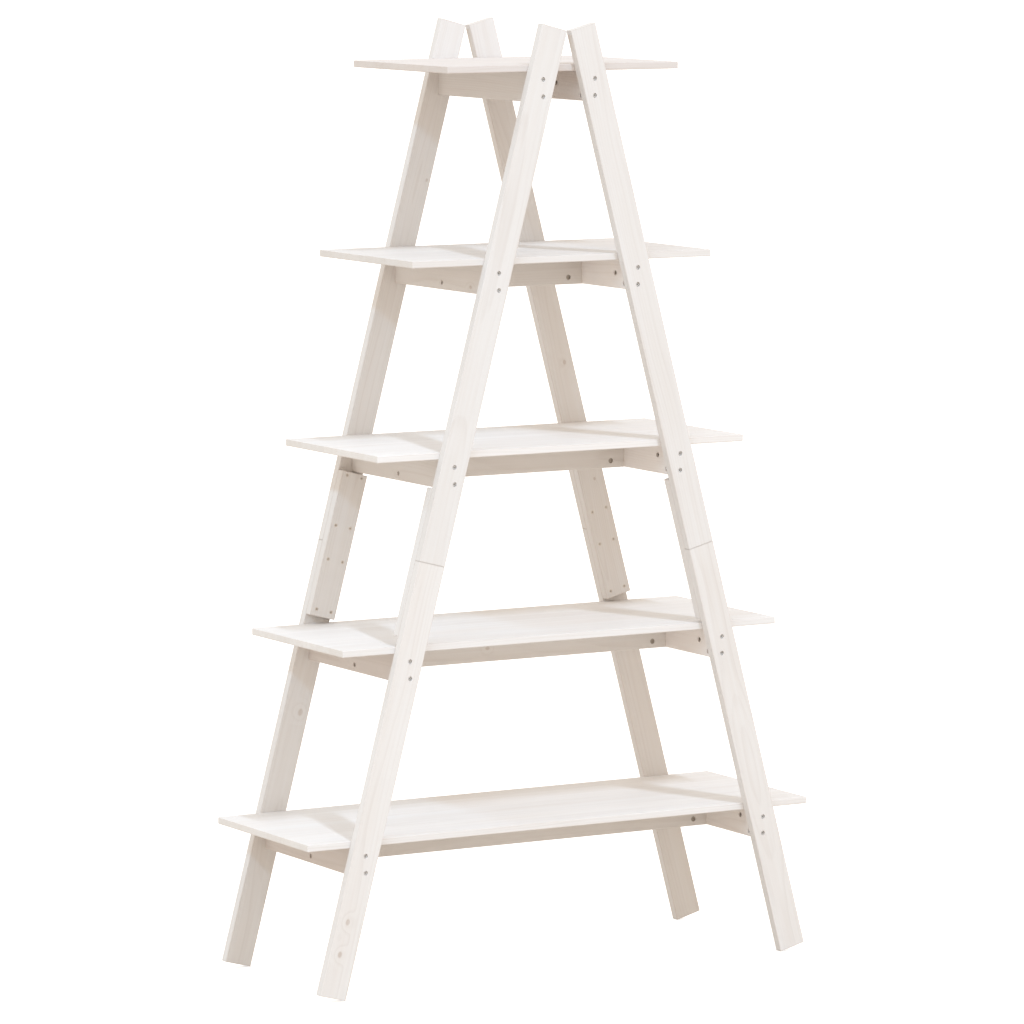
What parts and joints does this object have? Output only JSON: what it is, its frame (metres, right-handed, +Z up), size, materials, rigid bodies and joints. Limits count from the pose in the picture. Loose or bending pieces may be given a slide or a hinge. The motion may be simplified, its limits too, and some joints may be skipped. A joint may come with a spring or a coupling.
{
  "type": "ladder shelf",
  "caption": "Free-standing ladder shelf with A-shaped front and back frames, bolted crossbars and rails, and shelf boards that get shorter towards the top.",
  "frame": {"origin": "on the floor, under the middle of the shelf unit", "axes": "+X to the right along the shelves, +Y from the front frame to the back frame, +Z up"},
  "size_m": [1.096, 0.4, 1.8],
  "materials": {
    "leg_boards": "whitewashed pine, matt",
    "shelf_boards": "whitewashed pine, matt",
    "bearers": "whitewashed pine, matt",
    "splice_plates": "whitewashed pine, matt",
    "bolts": "bright zinc",
    "screws": "bright zinc",
    "barrel_nuts": "dull zinc",
    "shelf_connectors": "dull zinc"
  },
  "bodies": {
    "root": {"crossbar_left_1": "bearers", "crossbar_left_2": "bearers", "crossbar_left_3": "bearers", "crossbar_left_4": "bearers", "crossbar_left_5": "bearers", "crossbar_right_1": "bearers", "crossbar_right_2": "bearers", "crossbar_right_3": "bearers", "crossbar_right_4": "bearers", "crossbar_right_5": "bearers", "leg_back_left_lower": "leg_boards", "leg_back_left_upper": "leg_boards", "leg_back_right_lower": "leg_boards", "leg_back_right_upper": "leg_boards", "leg_barrel_nuts_1": "barrel_nuts", "leg_barrel_nuts_2": "barrel_nuts", "leg_barrel_nuts_3": "barrel_nuts", "leg_barrel_nuts_4": "barrel_nuts", "leg_barrel_nuts_5": "barrel_nuts", "leg_bolts_1": "bolts", "leg_bolts_2": "bolts", "leg_bolts_3": "bolts", "leg_bolts_4": "bolts", "leg_bolts_5": "bolts", "leg_front_left_lower": "leg_boards", "leg_front_left_upper": "leg_boards", "leg_front_right_lower": "leg_boards", "leg_front_right_upper": "leg_boards", "rail_1": "bearers", "rail_2": "bearers", "rail_3": "bearers", "rail_4": "bearers", "rail_barrel_nuts_1": "barrel_nuts", "rail_barrel_nuts_2": "barrel_nuts", "rail_barrel_nuts_3": "barrel_nuts", "rail_barrel_nuts_4": "barrel_nuts", "rail_bolts_1": "bolts", "rail_bolts_2": "bolts", "rail_bolts_3": "bolts", "rail_bolts_4": "bolts", "shelf_1": "shelf_boards", "shelf_2": "shelf_boards", "shelf_3": "shelf_boards", "shelf_4": "shelf_boards", "shelf_5": "shelf_boards", "shelf_cams_1": "shelf_connectors", "shelf_cams_2": "shelf_connectors", "shelf_cams_3": "shelf_connectors", "shelf_cams_4": "shelf_connectors", "shelf_cams_5": "shelf_connectors", "shelf_pins_1": "shelf_connectors", "shelf_pins_2": "shelf_connectors", "shelf_pins_3": "shelf_connectors", "shelf_pins_4": "shelf_connectors", "shelf_pins_5": "shelf_connectors", "splice_plate_back_left": "splice_plates", "splice_plate_back_right": "splice_plates", "splice_plate_front_left": "splice_plates", "splice_plate_front_right": "splice_plates", "splice_screws_back_left": "screws", "splice_screws_back_right": "screws", "splice_screws_front_left": "screws", "splice_screws_front_right": "screws"}
  },
  "joints": []
}
